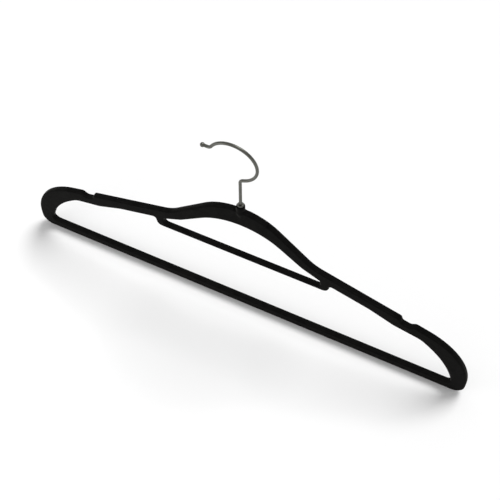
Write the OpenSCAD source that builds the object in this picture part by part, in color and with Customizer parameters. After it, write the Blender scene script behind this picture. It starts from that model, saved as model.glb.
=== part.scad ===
// Velvet suit hanger with a swivelling wire hook.
// Modelled hanging upright. The origin is the rod seat, the lowest point of the inside of the
// hook's arc top. X runs along the shoulders, Y through the thickness and Z up.

/* [Body] */
// Width across the shoulder ends, over the flock
body_w = 445; // [400:1:470]
// Thickness of the body over the flock
body_t = 5.6; // [4.8:0.1:6.4]
// Thickness of the flock coat
flock_t = 0.4; // [0.2:0.05:0.6]
// Height of the crown's top above the underside of the trouser bar
crown_z = 154.5; // [148:0.5:160]

/* [Crown arch] */
// Radius of the crown's outer edge
crown_r = 52.5; // [45:0.5:60]
// Slope of the crown's outer flanks, in degrees
crown_slope = 41.8; // [39:0.1:44]
// Radius of the crown's inner edge
loop_r = 60; // [50:0.5:66]
// Slope of the crown's inner flanks, in degrees
loop_slope = 38; // [36:0.1:40]
// Height of the band at the crown's top
crown_band = 21; // [18:0.5:23]
// Radius of the valley between the crown and an arm
valley_r = 35; // [20:1:45]

/* [Arms and shoulders] */
// Slope of the arms, in degrees
arm_slope = 16.6; // [15:0.1:18]
// Height at which the two arms' top edges would meet over the middle
arm_z = 131.3; // [129:0.1:134]
// Width of an arm's band, measured square to it
arm_band = 12.5; // [11:0.1:14]
// Radius of a shoulder end
shoulder_r = 65; // [55:1:70]
// Radius of the corner between a shoulder end and the trouser bar
foot_r = 11.5; // [8:0.5:14]

/* [Strap notches] */
// Distance of each notch's middle from the centreline
notch_x = 157.5; // [150:0.5:160]
// Width of a notch's mouth
notch_w = 14; // [11:0.5:16]
// Depth of a notch
notch_depth = 4.5; // [3:0.1:5]

/* [Bars] */
// Height of the trouser bar
bar_h = 11; // [8:0.5:13]
// Height of the tie bar
tie_h = 5; // [4:0.5:6]
// Height of the tie bar's middle above the underside of the trouser bar
tie_z = 84.7; // [83:0.1:86]
// Distance of the tie loop's inner end from the centreline
loop_x = 76; // [73:0.5:77]
// Thickness of the wall at the end of the tie loop
loop_wall = 7.5; // [6:0.5:9]

/* [Hook] */
// Diameter of the hook's wire
wire_d = 2.7; // [2.4:0.1:2.9]
// Height of the whole hanger, from the trouser bar to the top of the hook
total_h = 236.5; // [230:0.5:245]
// Radius of the hook's arc, to the middle of the wire
hook_r = 20.8; // [18:0.1:23]
// Distance from the stem to the middle of the arc
hook_offset = 6; // [0:0.5:8]
// Radius of the neck bend
neck_r = 4.2; // [3:0.1:6]
// Angle at which the arc ends, counted from the side away from the mouth, in degrees
arc_end = 152; // [140:1:160]
// Radius of the out-turned end
end_r = 3.5; // [2.5:0.1:5]
// Straight length of the out-turned end, up to the middle of the ball
end_l = 4.4; // [3.5:0.1:8]
// Diameter of the ball tip
ball_d = 4; // [3.7:0.1:5]

/* [Swivel] */
// Diameter of the boss that holds the hook
boss_d = 7.8; // [7.4:0.1:9]
// Height of the boss above the crown
boss_h = 6; // [4:0.5:8]
// Length of the boss's straight part below the crown's top
boss_root = 3.5; // [3:0.5:6]
// Length of the taper that blends the boss into the faces
boss_taper = 8; // [5:0.5:9]
// Radial running clearance between the stem and its ferrule
swivel_gap = 0.06; // [0.02:0.01:0.09]
// Outside diameter of the ferrule's sleeve
sleeve_d = 4.4; // [4.2:0.1:4.8]
// Diameter of the ferrule's flange
flange_d = 5.8; // [5.4:0.1:6.6]
// Height of the ferrule's flange
flange_h = 1.4; // [1:0.1:2]
// Depth of the socket in the boss
socket_depth = 12; // [10:0.5:12]
// Diameter of the upset head at the foot of the stem
head_d = 4; // [3.7:0.1:4.1]
// Thickness of the upset head
head_t = 1.4; // [1:0.1:2]
// End play of the head in its socket, above and below
head_gap = 0.3; // [0.1:0.05:0.5]

/* [Hidden] */

arc_step = 5;                            // degrees between the points of an outline's arcs
round_fn = 64;                           // facets of a true circle when previewed
over = 1;                                // how far a cutter runs past the face that it cuts
seam = 0.05;                             // half the gap between two stretches of the wire
bead_proud = 0.02;                       // how far the bead that fills such a gap stands proud
taper_sink = 0.3;                        // how far inside the faces the boss's taper starts
flange_bevel = 0.5;                      // bevel round the ferrule's flange

half_w = body_w / 2;
wire_r = wire_d / 2;
boss_z = crown_z + boss_h;               // top of the boss
socket_z = boss_z - socket_depth;        // floor of the socket
sleeve_z = socket_z + head_t + 2 * head_gap;
arc_z = total_h - wire_r - hook_r;       // height of the middle of the hook's arc
seat_z = total_h - wire_d;               // height of the rod seat
hook_reach = hook_r + neck_r;
neck_turn = acos((neck_r + hook_offset) / hook_reach);
neck_z = arc_z - hook_reach * sin(neck_turn);
end_x = -hook_offset + (hook_r + end_r) * cos(arc_end);
end_z = arc_z + (hook_r + end_r) * sin(arc_end);
tip_x = end_x - end_l;
tip_z = end_z - end_r;

// ---- outlines: a path is a list of [x, z, rounding radius], clockwise from the top ----

function spot(corner) = [corner[0], corner[1]];
function unit(v) = v / norm(v);
function left_of(v) = [-v[1], v[0]];
function wrapped(angle) = angle > 180 ? angle - 360 : angle < -180 ? angle + 360 : angle;
function before(path, i) = path[(i + len(path) - 1) % len(path)];
function after(path, i) = path[(i + 1) % len(path)];

// The points of the arc that rounds the corner b between its neighbours a and c
function rounding(a, b, c) =
    let (
        to_a = unit(spot(a) - spot(b)),
        to_c = unit(spot(c) - spot(b)),
        half = acos(to_a * to_c) / 2,
        middle = spot(b) + unit(to_a + to_c) * b[2] / sin(half),
        first = spot(b) + to_a * b[2] / tan(half) - middle,
        last = spot(b) + to_c * b[2] / tan(half) - middle,
        from = atan2(first[1], first[0]),
        sweep = wrapped(atan2(last[1], last[0]) - from),
        steps = ceil(abs(sweep) / arc_step)
    )
    [for (i = [0:steps]) middle + b[2] * [cos(from + sweep * i / steps), sin(from + sweep * i / steps)]];

function rounded(path) =
    [for (i = [0:len(path) - 1]) each rounding(before(path, i), path[i], after(path, i))];

// The same path with each edge moved outwards by d, or inwards where d is negative
function grown(path, d) = [
    for (i = [0:len(path) - 1])
        let (
            into = unit(spot(path[i]) - spot(before(path, i))),
            out = unit(spot(after(path, i)) - spot(path[i])),
            side = left_of(into) + left_of(out),
            moved = spot(path[i]) + side * d / (1 + into * out),
            turns_right = cross(into, out) < 0
        )
        [moved[0], moved[1], path[i][2] + (turns_right ? d : -d)]
];

// A whole path from its right half, which runs clockwise from the top to the bottom
function both_sides(right) = concat(
    right,
    [for (i = [len(right) - 1:-1:0]) if (right[i][0] > 0) [-right[i][0], right[i][1], right[i][2]]]
);

// The height at which a straight flank meets the centreline, for a crown of radius r and top z
function apex(z, r, slope) = z + r * (1 / cos(slope) - 1);

// Points of the arm's top edge, and of its underside
function arm_top(x) = arm_z - x * tan(arm_slope);
function arm_under(x) = arm_top(x) - arm_band / cos(arm_slope);
// A point of the arm's top edge, sunk square to it by a depth
function notch_corner(x, depth, r) =
    [x - depth * sin(arm_slope), arm_top(x) - depth * cos(arm_slope), r];

crown_apex = apex(crown_z, crown_r, crown_slope);
valley_x = (crown_apex - arm_z) / (tan(crown_slope) - tan(arm_slope));
notch_half = notch_w / 2 * cos(arm_slope);
notch_floor = notch_half * 0.55;         // half of the notch's floor
notch_lip_r = 1.8;
notch_floor_r = 2.6;
outline = both_sides([
    [0, crown_apex, crown_r],
    [valley_x, arm_top(valley_x), valley_r],
    notch_corner(notch_x - notch_half, 0, notch_lip_r),
    notch_corner(notch_x - notch_floor, notch_depth, notch_floor_r),
    notch_corner(notch_x + notch_floor, notch_depth, notch_floor_r),
    notch_corner(notch_x + notch_half, 0, notch_lip_r),
    [half_w, arm_top(half_w), shoulder_r],
    [half_w, 0, foot_r]
]);

// The loop for ties, between the crown and the tie bar
loop_apex = apex(crown_z - crown_band, loop_r, loop_slope);
loop_knee_x = 58;                        // where the loop's upper edge turns along the arm
loop_knee_r = 20;
loop_end_h = 8;                          // height of the loop's upright ends
loop_end_r = 3;
loop_end_z = tie_z + tie_h / 2 + loop_end_h;
tie_loop = both_sides([
    [0, loop_apex, loop_r],
    [loop_knee_x, loop_apex - loop_knee_x * tan(loop_slope), loop_knee_r],
    [loop_x, loop_end_z, loop_end_r],
    [loop_x, tie_z + tie_h / 2, loop_end_r]
]);

// The opening for trousers, between the tie bar, the arms and the trouser bar
wall_x = loop_x + loop_wall;
wall_top_x = wall_x + 1.7;               // the wall leans out a little towards the arm
wall_foot_r = 5.5;
wall_top_r = 2;
drop_x = 122;                            // the arm's underside drops from here on, to leave
drop_foot = [146, 71.5];                 // room for the notch,
drop_end = [172, 65.6];                  // as far as this
drop_r = 20;
shoulder_in = [half_w - 23.5, 44.5];     // inside of the shoulder
shoulder_in_r = 85;
foot_in_x = half_w - 12;                 // inside of the shoulder's foot
foot_in_r = 5;
trouser_opening = both_sides([
    [wall_x, tie_z - tie_h / 2, wall_foot_r],
    [wall_top_x, arm_under(wall_top_x), wall_top_r],
    [drop_x, arm_under(drop_x), drop_r],
    [each drop_foot, drop_r],
    [each drop_end, drop_r],
    [each shoulder_in, shoulder_in_r],
    [foot_in_x, bar_h, foot_in_r]
]);

// ---- shared shapes, in the hanger's own coordinates: X from the stem, Z from the bar's foot ----

module at_seat() translate([hook_offset, 0, -seat_z]) children();

module upright(thickness)
    rotate([90, 0, 0]) linear_extrude(height = thickness, center = true) children();

// The body grown by d: its plate with the two openings, and the boss
module hanger_body(d) {
    upright(body_t + 2 * d) difference() {
        polygon(rounded(grown(outline, d)));
        polygon(rounded(grown(tie_loop, -d)));
        polygon(rounded(grown(trouser_opening, -d)));
    }
    boss_r = boss_d / 2 + d;
    root_z = crown_z - boss_root;
    translate([0, 0, root_z]) cylinder(h = boss_z + d - root_z, r = boss_r, $fn = round_fn);
    translate([0, 0, root_z - boss_taper])
        cylinder(h = boss_taper, r1 = body_t / 2 + d - taper_sink, r2 = boss_r, $fn = round_fn);
}

module socket()
    translate([0, 0, socket_z]) cylinder(h = socket_depth + over, d = sleeve_d, $fn = round_fn);

// A bend of the wire about [x, z], from one angle through a sweep, with a seam left at both ends
module bend(x, z, r, from, sweep) {
    trim = seam / r * 180 / PI;
    translate([x, 0, z]) rotate([90, 0, 0]) rotate([0, 0, from + trim])
        rotate_extrude(angle = sweep - 2 * trim, $fn = 2 * round_fn)
            translate([r, 0]) circle(r = wire_r, $fn = round_fn);
}

// Bead that fills the seam between two stretches of the wire, on the middle of the wire at [x, z]
module joining_bead(x, z) translate([x, 0, z]) sphere(r = wire_r + bead_proud, $fn = round_fn);

// ---- sub-parts ----

// Moulded body
module frame_core()
    color([0.09, 0.09, 0.09])
    at_seat()
    difference() {
        hanger_body(-flock_t);
        socket();
    }

// Coat of nylon flock on every outside face of the moulding
module velvet_flock()
    color([0.03, 0.03, 0.03])
    at_seat()
    difference() {
        hanger_body(0);
        hanger_body(-flock_t);
        socket();
    }

// Turned collar whose sleeve is pressed into the boss and keeps the hook's head in
module stem_ferrule() {
    bore_r = wire_r + swivel_gap;
    top = boss_z + flange_h;
    color([0.6, 0.6, 0.62])
    at_seat()
    rotate_extrude($fn = round_fn) polygon([
        [bore_r, sleeve_z],
        [sleeve_d / 2, sleeve_z],
        [sleeve_d / 2, boss_z],
        [flange_d / 2, boss_z],
        [flange_d / 2, top - flange_bevel],
        [flange_d / 2 - flange_bevel, top],
        [bore_r + flange_bevel / 2, top],
        [bore_r, top - flange_bevel / 2]
    ]);
}

// Bent wire with an upset head at its foot
module hook_wire() {
    head_z = socket_z + head_gap;
    color([0.22, 0.22, 0.23])
    at_seat() {
        translate([0, 0, head_z]) cylinder(h = head_t, d = head_d, $fn = round_fn);
        translate([0, 0, head_z + head_t / 2])
            cylinder(h = neck_z - seam - head_z - head_t / 2, r = wire_r, $fn = round_fn);
        joining_bead(0, neck_z);
        bend(neck_r, neck_z, neck_r, 180 - neck_turn, neck_turn);
        joining_bead(hook_r * cos(neck_turn) - hook_offset, arc_z - hook_r * sin(neck_turn));
        bend(-hook_offset, arc_z, hook_r, -neck_turn, neck_turn + arc_end);
        joining_bead(hook_r * cos(arc_end) - hook_offset, arc_z + hook_r * sin(arc_end));
        bend(end_x, end_z, end_r, 270, arc_end - 90);
        joining_bead(end_x, tip_z);
        translate([end_x - seam, 0, tip_z]) rotate([0, -90, 0])
            cylinder(h = end_l - seam, r = wire_r, $fn = round_fn);
    }
}

// Ball pressed onto the open end of the wire
module hook_ball_tip()
    color([0.22, 0.22, 0.23])
    at_seat()
    translate([tip_x, 0, tip_z])
    difference() {
        sphere(d = ball_d, $fn = round_fn);
        rotate([0, 90, 0]) cylinder(h = ball_d, r = wire_r, $fn = round_fn);
    }

frame_core();
velvet_flock();
stem_ferrule();
hook_wire();
hook_ball_tip();
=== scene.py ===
"""Velvet suit hanger with a swivelling wire hook: looks, camera and light.

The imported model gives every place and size. The flock is rebuilt with the soft rounded
edges that it has over a moulding, the moulding is rebuilt inside it, and the metal keeps
its CAD shapes. Everything is in metres, with Z up and the origin at the rod seat.
"""

import math

import bmesh
import bpy
from mathutils import Matrix, Vector


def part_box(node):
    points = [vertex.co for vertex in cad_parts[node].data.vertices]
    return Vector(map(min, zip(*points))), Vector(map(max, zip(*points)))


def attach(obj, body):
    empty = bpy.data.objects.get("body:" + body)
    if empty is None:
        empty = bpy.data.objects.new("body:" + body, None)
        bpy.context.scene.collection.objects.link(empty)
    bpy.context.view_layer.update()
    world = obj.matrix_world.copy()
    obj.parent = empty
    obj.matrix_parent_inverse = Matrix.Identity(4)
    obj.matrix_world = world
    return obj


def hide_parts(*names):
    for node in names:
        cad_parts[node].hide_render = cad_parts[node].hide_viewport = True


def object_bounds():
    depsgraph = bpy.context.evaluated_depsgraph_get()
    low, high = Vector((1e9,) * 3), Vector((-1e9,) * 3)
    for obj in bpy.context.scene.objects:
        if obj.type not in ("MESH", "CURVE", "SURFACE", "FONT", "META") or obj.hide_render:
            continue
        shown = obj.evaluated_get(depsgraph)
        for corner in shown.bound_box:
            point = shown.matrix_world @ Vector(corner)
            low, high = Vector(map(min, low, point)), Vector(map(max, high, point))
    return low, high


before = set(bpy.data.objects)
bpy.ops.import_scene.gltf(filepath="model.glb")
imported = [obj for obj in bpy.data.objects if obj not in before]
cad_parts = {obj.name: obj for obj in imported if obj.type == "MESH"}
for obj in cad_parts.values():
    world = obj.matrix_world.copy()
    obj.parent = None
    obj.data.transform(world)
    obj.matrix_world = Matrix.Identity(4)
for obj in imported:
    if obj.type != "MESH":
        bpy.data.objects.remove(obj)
cad_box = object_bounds()

MM = 0.001

# ---- body ----
BODY_T = 5.6 * MM           # thickness of the plate over the flock
EDGE_R = 1.5 * MM           # rounding of the plate's edges
EDGE_STEPS = 5              # faces across a rounding
LIP_R = 0.8 * MM            # rounding of the boss's lip
BOSS_DEPTH = 17.5 * MM      # from the boss's top to the end of its taper
BOSS_TAPER = 8 * MM         # height of the taper
TAPER_SINK = 0.5 * MM       # how far inside the plate's faces the taper ends
BOSS_BITE = 4.5 * MM        # half width of the gap that the boss leaves in the plate's outline
ROUND_STEPS = 64            # faces round a turned part
VOXEL = 0.7 * MM            # grid of the remesh that merges the plate and the boss
SOFTENING = 6               # smoothing passes after it
SHARP = 50                  # degrees, the least angle that shows as a corner
FLOCK_T = 0.4 * MM          # thickness of the flock coat
CORE_GAP = 0.03 * MM        # kept between the moulding and the flock's inside
SLEEVE_R = 2.2 * MM         # radius of the ferrule's sleeve
SOCKET_ROOM = 0.02 * MM     # kept between the socket's wall and the ferrule's sleeve
HEAD_GAP = 0.3 * MM         # from the socket's floor to the head of the wire

# ---- painted sheen highlight along the plate's edges ----
SHEEN_BAND_FROM = 1.8 * MM        # distance of the band of painted sheen from the mid-plane
SHEEN_BAND_TO = 2.32 * MM
SHEEN_BAND_FADE = 0.44 * MM       # over which it fades on both sides
BOSS_CLEAR = 4.5 * MM       # no painted sheen nearer to the stem than this
BOSS_FADE = 2.5 * MM
SHEEN_BAND_SPAN = 10 * MM         # distances are shares of this in the ramps

# ---- camera: it looks down at the hanger from the front left ----
LOOK_AT = Vector((15.75, -2.8, -131.76)) * MM
CAMERA_AZIMUTH = math.radians(25.491)
CAMERA_ELEVATION = math.radians(57.953)
CAMERA_ROLL = math.radians(-0.163)
CAMERA_DISTANCE = 793.31 * MM
SENSOR = 36
FOCAL = 65.784

# ---- light ----
ROOM_LIGHT = 0.55           # the room's light from all sides
KEY_AZIMUTH = 160           # degrees, counted as the camera's is
KEY_ELEVATION = 60
KEY_SPREAD = 30
KEY_STRENGTH = 1.9
FILL_PLACE = Vector((-0.3, -0.55, 0.25))    # of the soft box, from the left shoulder's foot
FILL_SIDE = 0.4
FILL_WATTS = 0.8
FLOOR_SIDE = 40


# ---------------------------------------------------------------- meshes

def link(mesh, name):
    piece = bpy.data.objects.new(name, mesh)
    bpy.context.scene.collection.objects.link(piece)
    return piece


def applied(piece):
    """The piece with its modifiers turned into its own mesh."""
    bpy.context.view_layer.update()
    evaluated = piece.evaluated_get(bpy.context.evaluated_depsgraph_get())
    mesh = bpy.data.meshes.new_from_object(evaluated)
    piece.modifiers.clear()
    piece.data = mesh
    return piece


def new_mesh(name, build):
    """A mesh made by build(bm)."""
    bm = bmesh.new()
    build(bm)
    bmesh.ops.recalc_face_normals(bm, faces=bm.faces)
    mesh = bpy.data.meshes.new(name)
    bm.to_mesh(mesh)
    bm.free()
    return mesh


def stem_x():
    """Where the hook's stem stands along X."""
    low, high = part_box("stem_ferrule")
    return (low.x + high.x) / 2


def face_outlines():
    """The outlines of the flock's flat front face, as lists of (x, z), the outer one first.
    The bite that the boss takes out of the outer one is left out."""
    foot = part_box("velvet_flock")[1].z - BOSS_DEPTH
    face = bmesh.new()
    face.from_mesh(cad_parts["velvet_flock"].data)
    bmesh.ops.remove_doubles(face, verts=face.verts, dist=1e-6)
    others = [f for f in face.faces if any(abs(v.co.y + BODY_T / 2) > 1e-5 for v in f.verts)]
    bmesh.ops.delete(face, geom=others, context="FACES")
    rim = {e for e in face.edges if e.is_boundary}
    outlines = []
    while rim:
        edge = min(rim, key=lambda e: e.index)
        first, here = edge.verts
        outline = [first]
        while here is not first:
            rim.remove(edge)
            outline.append(here)
            edge = next(e for e in here.link_edges if e in rim)
            here = edge.other_vert(here)
        rim.remove(edge)
        outlines.append(without_straight_points(
            [(v.co.x, v.co.z) for v in outline
             if abs(v.co.x - stem_x()) > BOSS_BITE or v.co.z < foot]))
    face.free()
    return sorted(outlines, key=lambda outline: -abs(area(outline)))


def without_straight_points(outline):
    """The outline without the points at which it doesn't turn."""
    kept = []
    for a, b, c in zip(outline[-1:] + outline[:-1], outline, outline[1:] + outline[:1]):
        into, out = Vector(b) - Vector(a), Vector(c) - Vector(b)
        if abs(into.angle_signed(out)) > math.radians(0.05):
            kept.append(b)
    return kept


def area(outline):
    """Area inside an outline, positive where it runs anticlockwise."""
    return sum(a[0] * b[1] - b[0] * a[1] for a, b in zip(outline, outline[1:] + outline[:1])) / 2


def inset(outline, distance):
    """The outline moved to its left by a distance."""
    points = [Vector(p) for p in outline]
    moved = []
    for i, point in enumerate(points):
        into = (point - points[i - 1]).normalized()
        out = (points[(i + 1) % len(points)] - point).normalized()
        left = Vector((-into.y - out.y, into.x + out.x))
        moved.append(point + left * distance / (1 + into.dot(out)))
    return moved


def rounded_plate(bm, depth):
    """The flat body with its two openings and rounded edges, its surface sunk by depth."""
    radius, half_t = EDGE_R - depth, BODY_T / 2 - depth
    rims = []
    for i, outline in enumerate(face_outlines()):
        if (area(outline) > 0) != (i == 0):
            outline.reverse()
        rings = [[bm.verts.new((p.x, 0, p.y)) for p in inset(outline, depth)]]
        for step in range(EDGE_STEPS + 1):
            angle = math.pi / 2 * step / EDGE_STEPS
            y = half_t - radius + radius * math.sin(angle)
            rings.append([bm.verts.new((p.x, -y, p.y))
                          for p in inset(outline, depth + radius * (1 - math.cos(angle)))])
        for near, far in zip(rings, rings[1:]):
            for j in range(len(near)):
                bm.faces.new((near[j - 1], near[j], far[j], far[j - 1]))
        rims += [bm.edges.get((a, b)) for a, b in zip(rings[-1], rings[-1][1:] + rings[-1][:1])]
    bmesh.ops.triangle_fill(bm, edges=rims, use_beauty=True)
    back = bmesh.ops.duplicate(bm, geom=bm.verts[:] + bm.edges[:] + bm.faces[:])["geom"]
    for vertex in (g for g in back if isinstance(g, bmesh.types.BMVert)):
        vertex.co.y = -vertex.co.y
    bmesh.ops.remove_doubles(bm, verts=bm.verts, dist=1e-7)


def turned(bm, profile, x, start=0.0):
    """A solid of revolution about the upright axis at x, from (radius, z) points. Its
    corners are a share of a step, start, round from +X."""
    angles = [2 * math.pi * (i + start) / ROUND_STEPS for i in range(ROUND_STEPS)]
    turns = [[bm.verts.new((x + r * math.cos(a), r * math.sin(a), z)) if r else None
              for r, z in profile] for a in angles]
    ends = {k: bm.verts.new((x, 0, z)) for k, (r, z) in enumerate(profile) if not r}
    for i in range(ROUND_STEPS):
        for k in range(len(profile) - 1):
            corners = [turns[i - 1][k] or ends[k], turns[i][k] or ends[k],
                       turns[i][k + 1] or ends[k + 1], turns[i - 1][k + 1] or ends[k + 1]]
            bm.faces.new(list(dict.fromkeys(corners)))


def boss(bm, depth):
    """The round boss that holds the hook, down to the end of its taper, sunk by depth."""
    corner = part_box("velvet_flock")[1]
    radius, top, foot = corner.y - depth, corner.z - depth, corner.z - BOSS_DEPTH
    lip = [(radius - LIP_R * (1 - math.sin(a)), top - LIP_R * (1 - math.cos(a)))
           for a in (math.pi / 2 * i / EDGE_STEPS for i in range(EDGE_STEPS + 1))]
    taper = [(radius, foot + BOSS_TAPER), (BODY_T / 2 - TAPER_SINK - depth, foot)]
    turned(bm, [(0, top), *lip, *taper, (0, foot)], stem_x())


def plain_body(depth):
    """Plate and boss as one closed solid, its surface sunk by depth."""
    body = link(new_mesh("plate", lambda bm: rounded_plate(bm, depth)), "plain_body")
    post = link(new_mesh("boss", lambda bm: boss(bm, depth)), "post")
    return combined(body, "UNION", post)


def soft_body():
    """Plate and boss as one closed solid, with a soft corner between them."""
    body = plain_body(0)
    merge = body.modifiers.new("merge", "REMESH")
    merge.mode = "VOXEL"
    merge.voxel_size = VOXEL
    soften = body.modifiers.new("soften", "SMOOTH")
    soften.factor = 0.5
    soften.iterations = SOFTENING
    return applied(body)


def socket_cutter():
    """A plug as wide as the ferrule's sleeve, from the socket's floor to above the boss."""
    floor_z, top_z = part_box("hook_wire")[0].z - HEAD_GAP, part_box("stem_ferrule")[1].z
    radius = SLEEVE_R + SOCKET_ROOM
    profile = [(0, floor_z), (radius, floor_z), (radius, top_z), (0, top_z)]
    plug = new_mesh("socket", lambda bm: turned(bm, profile, stem_x(), 0.5))
    return link(plug, "socket_cutter")


def combined(piece, operation, other):
    """The piece joined with the other one, or cut by it. The other one is used up."""
    step = piece.modifiers.new("step", "BOOLEAN")
    step.operation = operation
    step.solver = "MANIFOLD"
    step.object = other
    applied(piece)
    bpy.data.objects.remove(other)
    return piece


def smooth(piece):
    """Soft shading, except across corners."""
    piece.data.shade_smooth()
    piece.data.set_sharp_from_angle(angle=math.radians(SHARP))
    return piece


# ---------------------------------------------------------------- materials

def material(name):
    """A new material, its node tree and its Principled shader."""
    new = bpy.data.materials.new(name)
    new.use_nodes = True
    tree = new.node_tree
    return new, tree, tree.nodes["Principled BSDF"]


def noise(tree, scale, detail=3.0, roughness=0.55, distortion=0.0):
    """Noise over the object's own coordinates, scale in features per metre."""
    place = tree.nodes.new("ShaderNodeTexCoord")
    node = tree.nodes.new("ShaderNodeTexNoise")
    node.inputs["Scale"].default_value = scale
    node.inputs["Detail"].default_value = detail
    node.inputs["Roughness"].default_value = roughness
    node.inputs["Distortion"].default_value = distortion
    tree.links.new(place.outputs["Object"], node.inputs["Vector"])
    return node.outputs["Fac"]


def ramp(tree, value, low, high, start=0.3, end=0.7):
    """Colours or greys between low and high, as the value goes from start to end."""
    node = tree.nodes.new("ShaderNodeValToRGB")
    for element, place, level in zip(node.color_ramp.elements, (start, end), (low, high)):
        element.position = place
        element.color = (*level, 1) if isinstance(level, tuple) else (level, level, level, 1)
    tree.links.new(value, node.inputs["Fac"])
    return node.outputs["Color"]


def bump(tree, height, depth, strength=1.0, under=None):
    """Normals that follow a height, over those of a coarser relief where one is given."""
    node = tree.nodes.new("ShaderNodeBump")
    node.inputs["Distance"].default_value = depth
    node.inputs["Strength"].default_value = strength
    tree.links.new(height, node.inputs["Height"])
    if under is not None:
        tree.links.new(under, node.inputs["Normal"])
    return node.outputs["Normal"]


def between(tree, value, low, high, fade):
    """1 where the value is between low and high, falling smoothly to 0 over fade outside them."""
    node = tree.nodes.new("ShaderNodeValToRGB")
    node.color_ramp.interpolation = "EASE"
    node.color_ramp.elements[1].color = (0, 0, 0, 1)
    for place, level in ((low - fade, 0), (low, 1), (high, 1), (high + fade, 0)):
        node.color_ramp.elements.new(place).color = (level, level, level, 1)
    tree.links.new(value, node.inputs["Fac"])
    return node.outputs["Color"]


def maths(tree, operation, a, b=None):
    """The result of one operation on sockets or numbers."""
    node = tree.nodes.new("ShaderNodeMath")
    node.operation = operation
    for socket, value in zip(node.inputs, (a, b)):
        if isinstance(value, bpy.types.NodeSocket):
            tree.links.new(value, socket)
        elif value is not None:
            socket.default_value = value
    return node.outputs["Value"]


def blended(tree, share, a, b):
    """The colour a where share is 0, b where it is 1."""
    node = tree.nodes.new("ShaderNodeMix")
    node.data_type = "RGBA"
    tree.links.new(share, node.inputs["Factor"])
    for socket, value in ((node.inputs[6], a), (node.inputs[7], b)):
        if isinstance(value, bpy.types.NodeSocket):
            tree.links.new(value, socket)
        else:
            socket.default_value = (*value, 1)
    return node.outputs[2]


def painted_edge_sheen(tree):
    """1 in patches of painted sheen highlight along the plate's rounded edges, 0 elsewhere and
    round the boss.
    """
    place = tree.nodes.new("ShaderNodeSeparateXYZ")
    tree.links.new(tree.nodes.new("ShaderNodeTexCoord").outputs["Object"], place.inputs["Vector"])
    depth = maths(tree, "MULTIPLY", maths(tree, "ABSOLUTE", place.outputs["Y"]), 1 / SHEEN_BAND_SPAN)
    edges = between(tree, depth, SHEEN_BAND_FROM / SHEEN_BAND_SPAN, SHEEN_BAND_TO / SHEEN_BAND_SPAN, SHEEN_BAND_FADE / SHEEN_BAND_SPAN)
    from_stem = maths(tree, "ABSOLUTE", maths(tree, "SUBTRACT", place.outputs["X"], stem_x()))
    off_boss = ramp(tree, maths(tree, "MULTIPLY", from_stem, 1 / SHEEN_BAND_SPAN), 0.0, 1.0,
                    BOSS_CLEAR / SHEEN_BAND_SPAN, (BOSS_CLEAR + BOSS_FADE) / SHEEN_BAND_SPAN)
    patches = ramp(tree, noise(tree, 220, detail=4), 0.0, 0.9, 0.4, 0.75)
    return maths(tree, "MULTIPLY", maths(tree, "MULTIPLY", edges, off_boss), patches)


def velvet():
    """Short upright nylon fibre: dark where one looks into it, with a painted sheen highlight in a
    paler colour along the rounded edges.
    """
    new, tree, shader = material("black_velvet_flock")
    shader.inputs["Roughness"].default_value = 0.95
    shader.inputs["Specular IOR Level"].default_value = 0.06
    shader.inputs["Sheen Weight"].default_value = 0.15
    shader.inputs["Sheen Roughness"].default_value = 0.3
    shader.inputs["Sheen Tint"].default_value = (0.95, 0.92, 0.87, 1)
    lay = noise(tree, 70, detail=2, distortion=1.5)      # patches brushed one way or another
    tufts = noise(tree, 900, detail=2)
    fibres = noise(tree, 6500, detail=2)
    shade = maths(tree, "MULTIPLY", maths(tree, "ADD", lay, fibres), 0.5)
    pile = ramp(tree, shade, (0.0012, 0.0012, 0.0011), (0.0052, 0.005, 0.0047), 0.35, 0.65)
    # painted highlight: a paler colour along the rounded edges stands in for the sheen they catch
    pile_with_painted_sheen = blended(tree, painted_edge_sheen(tree), pile, (0.009, 0.0087, 0.008))
    tree.links.new(pile_with_painted_sheen, shader.inputs["Base Color"])
    relief = bump(tree, lay, 0.5 * MM, 0.3)
    relief = bump(tree, tufts, 0.1 * MM, 0.35, relief)
    tree.links.new(bump(tree, fibres, 0.05 * MM, 0.7, relief), shader.inputs["Normal"])
    return new


def black_nickel():
    """Satin black nickel plate, a little uneven in tone."""
    new, tree, shader = material("black_nickel_wire")
    shader.inputs["Metallic"].default_value = 1
    tarnish = ramp(tree, noise(tree, 260, detail=4), (0.113, 0.112, 0.098), (0.136, 0.138, 0.124))
    tree.links.new(tarnish, shader.inputs["Base Color"])
    tree.links.new(ramp(tree, noise(tree, 900), 0.3, 0.42), shader.inputs["Roughness"])
    tree.links.new(bump(tree, noise(tree, 1800), 0.003 * MM, 0.3), shader.inputs["Normal"])
    return new


def collar_nickel():
    """The same plate on a turned part, slightly shinier."""
    new, tree, shader = material("black_nickel_collar")
    shader.inputs["Metallic"].default_value = 1
    tarnish = ramp(tree, noise(tree, 500, detail=4), (0.115, 0.115, 0.104), (0.145, 0.146, 0.134))
    tree.links.new(tarnish, shader.inputs["Base Color"])
    tree.links.new(ramp(tree, noise(tree, 1500), 0.26, 0.4), shader.inputs["Roughness"])
    tree.links.new(bump(tree, noise(tree, 2500), 0.01 * MM, 0.5), shader.inputs["Normal"])
    return new


def moulded_abs():
    """Satin black plastic; it only shows in the socket's mouth."""
    new, tree, shader = material("moulded_black_abs")
    tree.links.new(ramp(tree, noise(tree, 400), (0.017, 0.017, 0.018), (0.024, 0.024, 0.025)),
                   shader.inputs["Base Color"])
    tree.links.new(ramp(tree, noise(tree, 700), 0.38, 0.5), shader.inputs["Roughness"])
    tree.links.new(bump(tree, noise(tree, 3000), 0.01 * MM, 0.5), shader.inputs["Normal"])
    return new


def pale_floor():
    new, tree, shader = material("pale_floor")
    shader.inputs["Base Color"].default_value = (0.93, 0.93, 0.93, 1)
    shader.inputs["Roughness"].default_value = 0.8
    return new


def finish_with(piece, new):
    """The piece made of one material only."""
    piece.data.materials.clear()
    piece.data.materials.append(new)


# ---------------------------------------------------------------- pieces

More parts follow.
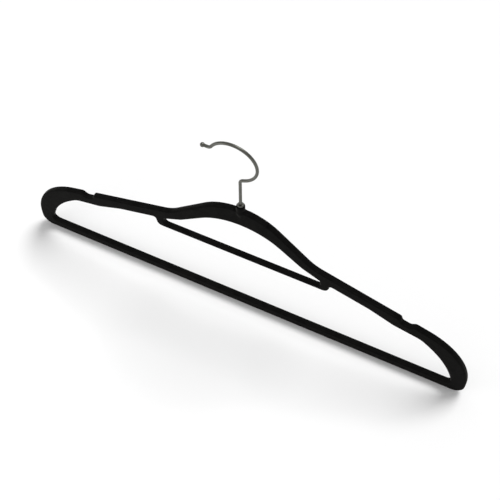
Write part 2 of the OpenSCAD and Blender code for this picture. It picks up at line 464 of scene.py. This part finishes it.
def add_to_frame(piece, name, node, finish):
    """The piece, with the hook's socket cut into it, stands for a node of the frame."""
    combined(piece, "DIFFERENCE", socket_cutter())
    piece.name = name
    smooth(piece)
    finish_with(piece, finish)
    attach(piece, "frame")
    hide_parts(node)


def add_body():
    """The flock coat, and the moulding inside it."""
    coat = combined(soft_body(), "DIFFERENCE", plain_body(FLOCK_T))
    add_to_frame(coat, "flock_coat", "velvet_flock", velvet())
    core = plain_body(FLOCK_T + CORE_GAP)
    add_to_frame(core, "moulded_body", "frame_core", moulded_abs())


def add_metal():
    wire = black_nickel()
    finish_with(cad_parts["hook_wire"], wire)
    finish_with(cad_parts["hook_ball_tip"], wire)
    finish_with(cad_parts["stem_ferrule"], collar_nickel())


# ---------------------------------------------------------------- stage

def add_floor():
    plane = bmesh.new()
    bmesh.ops.create_grid(plane, x_segments=1, y_segments=1, size=FLOOR_SIDE / 2,
                          matrix=Matrix.Translation((0, 0, cad_box[0][2])))
    mesh = bpy.data.meshes.new("floor")
    plane.to_mesh(mesh)
    plane.free()
    floor = link(mesh, "floor")
    finish_with(floor, pale_floor())


def direction(azimuth, elevation):
    """From the hanger outwards, azimuth counted from straight in front towards +X."""
    return Vector((math.sin(azimuth) * math.cos(elevation),
                   -math.cos(azimuth) * math.cos(elevation), math.sin(elevation)))


def add_sun(name, azimuth, elevation, spread, strength):
    """A soft sun, with its angles in degrees."""
    light = bpy.data.lights.new(name, "SUN")
    light.angle = math.radians(spread)
    light.energy = strength
    towards = direction(math.radians(azimuth), math.radians(elevation))
    lamp = bpy.data.objects.new(name, light)
    lamp.rotation_euler = towards.to_track_quat("Z", "Y").to_euler()
    bpy.context.scene.collection.objects.link(lamp)


def add_soft_box(name, place, target, side, watts):
    """A square soft box at a place, turned to a target."""
    light = bpy.data.lights.new(name, "AREA")
    light.size = side
    light.energy = watts
    lamp = bpy.data.objects.new(name, light)
    lamp.location = place
    lamp.rotation_euler = (place - target).to_track_quat("Z", "Y").to_euler()
    lamp.visible_camera = False
    bpy.context.scene.collection.objects.link(lamp)


def add_lights():
    """A sun through a wide diffuser behind and above, a soft box near the left shoulder, a
    pale room, and a white backdrop where the camera sees past the floor."""
    world = bpy.data.worlds.new("studio")
    world.use_nodes = True
    tree = world.node_tree
    background = tree.nodes["Background"]
    background.inputs["Color"].default_value = (1, 1, 1, 1)
    seen = tree.nodes.new("ShaderNodeLightPath")
    strength = tree.nodes.new("ShaderNodeMapRange")
    strength.inputs["To Min"].default_value = ROOM_LIGHT
    strength.inputs["To Max"].default_value = 1
    tree.links.new(seen.outputs["Is Camera Ray"], strength.inputs["Value"])
    tree.links.new(strength.outputs["Result"], background.inputs["Strength"])
    bpy.context.scene.world = world
    add_sun("key", KEY_AZIMUTH, KEY_ELEVATION, KEY_SPREAD, KEY_STRENGTH)
    left_foot = Vector((cad_box[0][0], 0, cad_box[0][2]))
    add_soft_box("fill", left_foot + FILL_PLACE, left_foot, FILL_SIDE, FILL_WATTS)


def add_camera():
    back = direction(CAMERA_AZIMUTH, CAMERA_ELEVATION)
    right = Vector((math.cos(CAMERA_AZIMUTH), math.sin(CAMERA_AZIMUTH), 0))
    up = back.cross(right)
    turn = Matrix((right, up, back)).transposed() @ Matrix.Rotation(CAMERA_ROLL, 3, "Z")
    lens = bpy.data.cameras.new("camera")
    lens.sensor_width = SENSOR
    lens.lens = FOCAL
    camera = bpy.data.objects.new("camera", lens)
    camera.matrix_world = Matrix.Translation(LOOK_AT + back * CAMERA_DISTANCE) @ turn.to_4x4()
    bpy.context.scene.collection.objects.link(camera)
    bpy.context.scene.camera = camera


add_body()
add_metal()
add_floor()
add_lights()
add_camera()
bpy.context.scene.view_settings.view_transform = "Standard"
